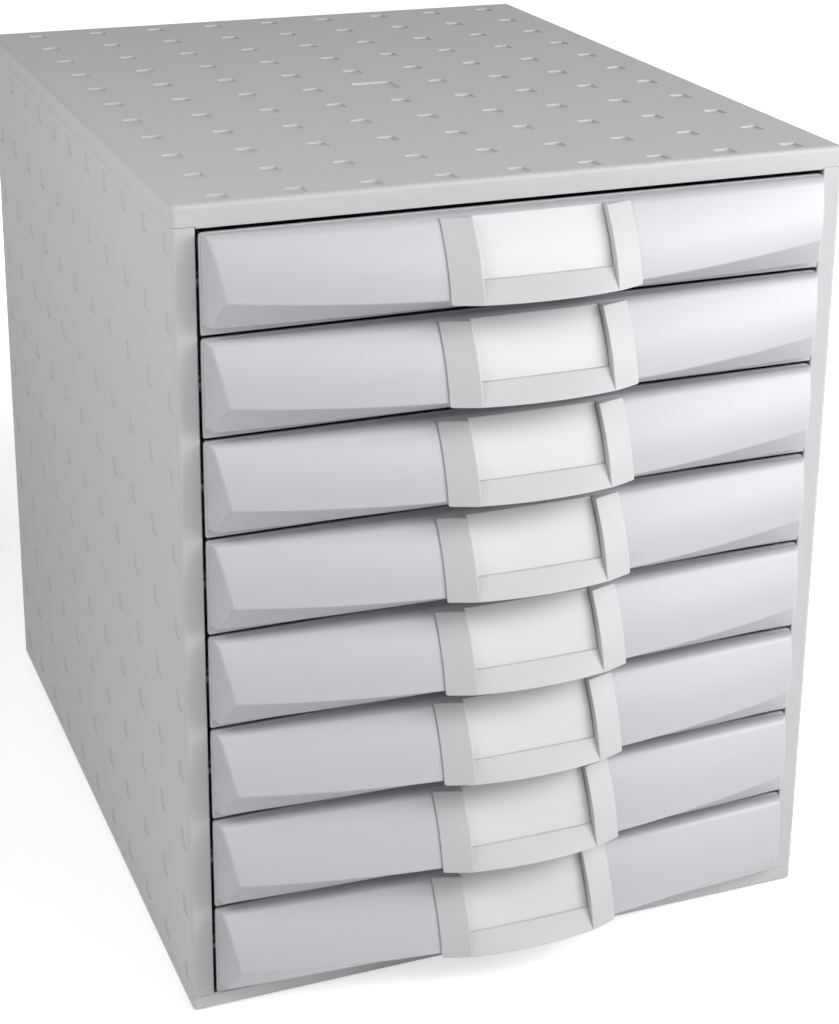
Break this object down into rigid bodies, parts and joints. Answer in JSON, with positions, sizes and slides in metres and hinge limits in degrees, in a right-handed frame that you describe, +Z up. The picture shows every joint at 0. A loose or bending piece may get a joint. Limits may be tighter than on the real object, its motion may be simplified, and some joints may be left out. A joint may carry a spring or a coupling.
{
  "type": "drawer cabinet",
  "caption": "Desktop drawer cabinet in light grey moulded plastic, with bulging drawer fronts, label handles and square marks in the panels.",
  "frame": {"origin": "on the floor under the middle of the cabinet's box, handles included", "axes": "+X to the right, -Y is the front toward which the drawers open, +Z up"},
  "size_m": [0.29, 0.3846, 0.3551],
  "materials": {
    "case_plastic": "satin light grey",
    "front_plastic": "satin pale grey",
    "handle_plastic": "satin light grey",
    "label_card": "plain white card",
    "foot_rubber": "matte"
  },
  "bodies": {
    "case": {"top_panel": "case_plastic", "base_panel": "case_plastic", "left_side_panel": "case_plastic", "right_side_panel": "case_plastic", "back_panel": "case_plastic", "rubber_feet": "foot_rubber"},
    "drawer_1": {"drawer_tray_1": "front_plastic", "drawer_front_1": "front_plastic", "handle_1": "handle_plastic", "label_card_1": "label_card"},
    "drawer_2": {"drawer_tray_2": "front_plastic", "drawer_front_2": "front_plastic", "handle_2": "handle_plastic", "label_card_2": "label_card"},
    "drawer_3": {"drawer_tray_3": "front_plastic", "drawer_front_3": "front_plastic", "handle_3": "handle_plastic", "label_card_3": "label_card"},
    "drawer_4": {"drawer_tray_4": "front_plastic", "drawer_front_4": "front_plastic", "handle_4": "handle_plastic", "label_card_4": "label_card"},
    "drawer_5": {"drawer_tray_5": "front_plastic", "drawer_front_5": "front_plastic", "handle_5": "handle_plastic", "label_card_5": "label_card"},
    "drawer_6": {"drawer_tray_6": "front_plastic", "drawer_front_6": "front_plastic", "handle_6": "handle_plastic", "label_card_6": "label_card"},
    "drawer_7": {"drawer_tray_7": "front_plastic", "drawer_front_7": "front_plastic", "handle_7": "handle_plastic", "label_card_7": "label_card"},
    "drawer_8": {"drawer_tray_8": "front_plastic", "drawer_front_8": "front_plastic", "handle_8": "handle_plastic", "label_card_8": "label_card"}
  },
  "joints": [
    {"name": "drawer_1_slide", "type": "slide", "parent": "case", "child": "drawer_1", "axis": [0, -1, 0], "range_m": [0, 0.25]},
    {"name": "drawer_2_slide", "type": "slide", "parent": "case", "child": "drawer_2", "axis": [0, -1, 0], "range_m": [0, 0.25]},
    {"name": "drawer_3_slide", "type": "slide", "parent": "case", "child": "drawer_3", "axis": [0, -1, 0], "range_m": [0, 0.25]},
    {"name": "drawer_4_slide", "type": "slide", "parent": "case", "child": "drawer_4", "axis": [0, -1, 0], "range_m": [0, 0.25]},
    {"name": "drawer_5_slide", "type": "slide", "parent": "case", "child": "drawer_5", "axis": [0, -1, 0], "range_m": [0, 0.25]},
    {"name": "drawer_6_slide", "type": "slide", "parent": "case", "child": "drawer_6", "axis": [0, -1, 0], "range_m": [0, 0.25]},
    {"name": "drawer_7_slide", "type": "slide", "parent": "case", "child": "drawer_7", "axis": [0, -1, 0], "range_m": [0, 0.25]},
    {"name": "drawer_8_slide", "type": "slide", "parent": "case", "child": "drawer_8", "axis": [0, -1, 0], "range_m": [0, 0.25]}
  ]
}
